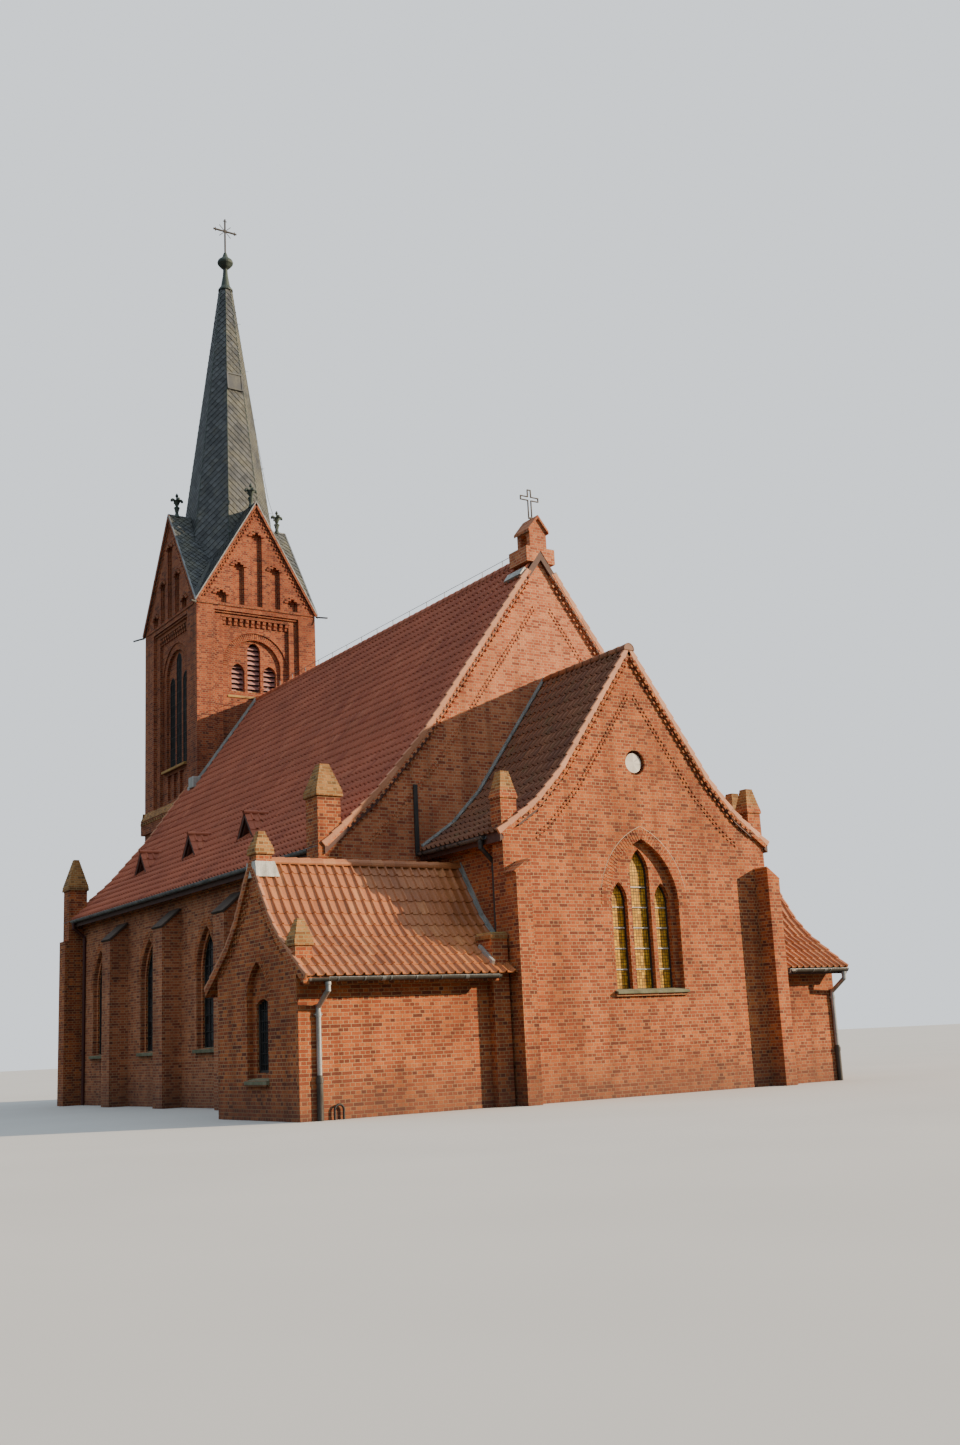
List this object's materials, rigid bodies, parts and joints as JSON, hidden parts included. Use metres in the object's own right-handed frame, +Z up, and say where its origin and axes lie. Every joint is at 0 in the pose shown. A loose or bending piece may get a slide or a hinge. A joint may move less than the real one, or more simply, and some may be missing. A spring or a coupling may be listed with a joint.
{
  "type": "church building",
  "caption": "Brick village church with a steep tiled nave roof, lower chancel and side annexes, and a square west tower with four gables and a slate spire.",
  "frame": {"origin": "centre of the footprint's bounding box, on the ground", "axes": "+Z up, +X along the church towards the chancel (east), +Y towards the north side"},
  "size_m": [27.2628, 15.96, 35.23],
  "materials": {
    "brick": "fired brick in courses with pale mortar joints",
    "nave_tile": "weathered red-brown clay tiles",
    "annex_tile": "newer orange clay tiles",
    "slate": "dark diamond slates",
    "copper": "weathered copper, green-grey",
    "zinc": "dull folded sheet",
    "iron": "painted wrought iron",
    "glass": "dark leaded panes",
    "amber_glass": "amber leaded panes",
    "louvre_wood": "red-brown painted boards",
    "door_wood": "dark stained boards",
    "painted_disc": "white paint"
  },
  "bodies": {
    "root": {"annex_east_wall": "brick", "annex_north_gutter": "zinc", "annex_ridge_tiles": "annex_tile", "annex_roof": "annex_tile", "annex_south_gable": "brick", "annex_south_gutter": "zinc", "annex_west_wall": "brick", "annex_window_glass": "glass", "belfry_louvres": "louvre_wood", "chancel_east_gable": "brick", "chancel_north_gutter": "zinc", "chancel_north_wall": "brick", "chancel_northeast_pinnacle": "brick", "chancel_ridge_tiles": "nave_tile", "chancel_roof": "nave_tile", "chancel_south_gutter": "zinc", "chancel_south_wall": "brick", "chancel_southeast_pinnacle": "brick", "chancel_window_glass": "amber_glass", "gable_cross": "iron", "gable_shrine": "brick", "nave_east_gable": "brick", "nave_north_glass": "glass", "nave_north_gutter": "zinc", "nave_north_wall": "brick", "nave_northeast_pier": "brick", "nave_northwest_pier": "brick", "nave_ridge_tiles": "nave_tile", "nave_roof_north": "nave_tile", "nave_roof_south": "nave_tile", "nave_south_glass": "glass", "nave_south_gutter": "zinc", "nave_south_wall": "brick", "nave_southeast_pier": "brick", "nave_southwest_pier": "brick", "nave_west_wall_north": "brick", "nave_west_wall_south": "brick", "north_annex_roof": "annex_tile", "north_annex_walls": "brick", "oculus_disc": "painted_disc", "spire": "slate", "spire_copper_cap": "copper", "tower_belfry_inner_wall": "brick", "tower_belfry_wall": "brick", "tower_cross": "iron", "tower_east_gable": "brick", "tower_east_wall": "brick", "tower_finial_east": "copper", "tower_finial_north": "copper", "tower_finial_south": "copper", "tower_finial_west": "copper", "tower_gable_roofs": "slate", "tower_north_glass": "glass", "tower_north_wall": "brick", "tower_south_glass": "glass", "tower_south_wall": "brick", "tower_west_glass": "glass", "tower_west_wall": "brick", "west_door": "door_wood"}
  },
  "joints": []
}
